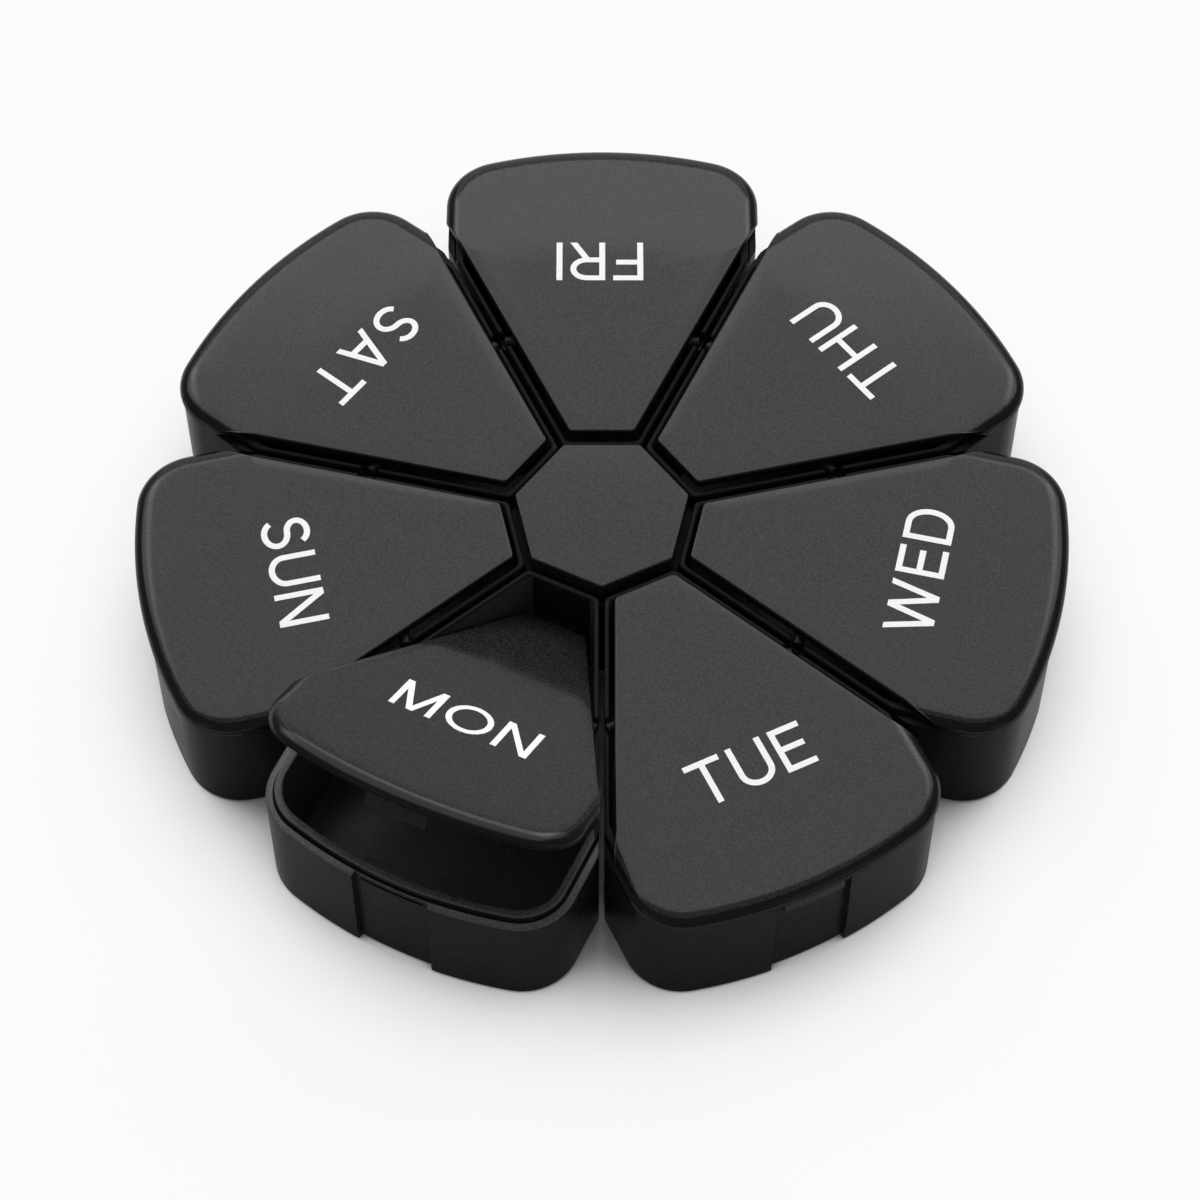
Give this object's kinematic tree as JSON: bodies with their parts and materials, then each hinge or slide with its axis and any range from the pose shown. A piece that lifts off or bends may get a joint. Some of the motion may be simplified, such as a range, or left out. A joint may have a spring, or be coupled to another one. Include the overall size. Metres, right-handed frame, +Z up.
{
  "type": "pill organizer",
  "caption": "Flower-shaped weekly pill organizer: wedge-shaped compartments around a hub, each with a rocker lid that tilts on a cross rod.",
  "frame": {"origin": "on the hub's axis, at the underside where the organizer rests on a table", "axes": "+Z up out of the lids; +Y from the hub towards the Friday compartment; +X to the right when Friday points away from the viewer"},
  "size_m": [0.124, 0.123, 0.0359],
  "materials": {
    "lid_plastic": "matte with a fine moulded grain",
    "box_plastic": "satin",
    "rod_plastic": "satin"
  },
  "bodies": {
    "base": {"hub_core": "box_plastic", "hub_cap": "lid_plastic", "compartment_fri": "box_plastic", "pivot_rod_fri": "rod_plastic", "compartment_sat": "box_plastic", "pivot_rod_sat": "rod_plastic", "compartment_sun": "box_plastic", "pivot_rod_sun": "rod_plastic", "compartment_mon": "box_plastic", "pivot_rod_mon": "rod_plastic", "compartment_tue": "box_plastic", "pivot_rod_tue": "rod_plastic", "compartment_wed": "box_plastic", "pivot_rod_wed": "rod_plastic", "compartment_thu": "box_plastic", "pivot_rod_thu": "rod_plastic"},
    "lid_fri": {"lid_fri": "lid_plastic"},
    "lid_sat": {"lid_sat": "lid_plastic"},
    "lid_sun": {"lid_sun": "lid_plastic"},
    "lid_mon": {"lid_mon": "lid_plastic"},
    "lid_tue": {"lid_tue": "lid_plastic"},
    "lid_wed": {"lid_wed": "lid_plastic"},
    "lid_thu": {"lid_thu": "lid_plastic"}
  },
  "joints": [
    {"name": "lid_fri_tilt", "type": "hinge", "parent": "base", "child": "lid_fri", "pos_m": [0, 0.0292, 0.01815], "axis": [1, 0, 0], "range_deg": [0, 29.5]},
    {"name": "lid_sat_tilt", "type": "hinge", "parent": "base", "child": "lid_sat", "pos_m": [-0.02283, 0.01821, 0.01815], "axis": [0.6235, 0.7818, 0], "range_deg": [0, 29.5]},
    {"name": "lid_sun_tilt", "type": "hinge", "parent": "base", "child": "lid_sun", "pos_m": [-0.02847, -0.0065, 0.01815], "axis": [-0.2225, 0.9749, 0], "range_deg": [0, 29.5]},
    {"name": "lid_mon_tilt", "type": "hinge", "parent": "base", "child": "lid_mon", "pos_m": [-0.01267, -0.02631, 0.01815], "axis": [-0.901, 0.4339, 0], "range_deg": [-29.5, 0]},
    {"name": "lid_tue_tilt", "type": "hinge", "parent": "base", "child": "lid_tue", "pos_m": [0.01267, -0.02631, 0.01815], "axis": [-0.901, -0.4339, 0], "range_deg": [0, 29.5]},
    {"name": "lid_wed_tilt", "type": "hinge", "parent": "base", "child": "lid_wed", "pos_m": [0.02847, -0.0065, 0.01815], "axis": [-0.2225, -0.9749, 0], "range_deg": [0, 29.5]},
    {"name": "lid_thu_tilt", "type": "hinge", "parent": "base", "child": "lid_thu", "pos_m": [0.02283, 0.01821, 0.01815], "axis": [0.6235, -0.7818, 0], "range_deg": [0, 29.5]}
  ]
}
